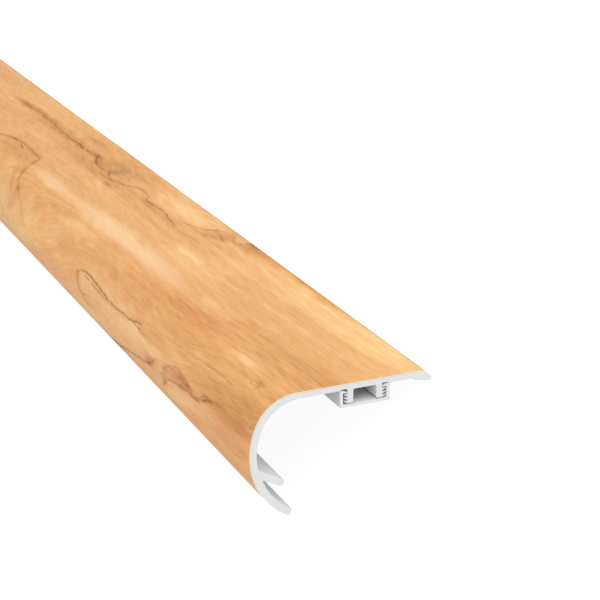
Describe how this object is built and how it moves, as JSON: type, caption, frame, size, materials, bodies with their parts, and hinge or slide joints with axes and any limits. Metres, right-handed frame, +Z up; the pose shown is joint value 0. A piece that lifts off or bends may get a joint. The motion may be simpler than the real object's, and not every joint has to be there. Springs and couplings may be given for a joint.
{
  "type": "overlapping stair nosing",
  "caption": "Long bullnose edge trim with a wood-print film, a curled lip with a support fin, and barbed legs in a fixing track. It caps a stair edge and overlaps the floor.",
  "frame": {"origin": "middle of the length, under the middle of the width, on the floor that the loose piece lies on", "axes": "+Y along the length, away from the pictured end; +X from the nose to the back edge; +Z up"},
  "size_m": [0.073, 2.388, 0.0378],
  "materials": {
    "core": "satin",
    "film": "satin, printed wood grain",
    "track": "satin"
  },
  "bodies": {
    "root": {"nosing_profile": "core", "wood_film": "film", "snap_track": "track"}
  },
  "joints": []
}
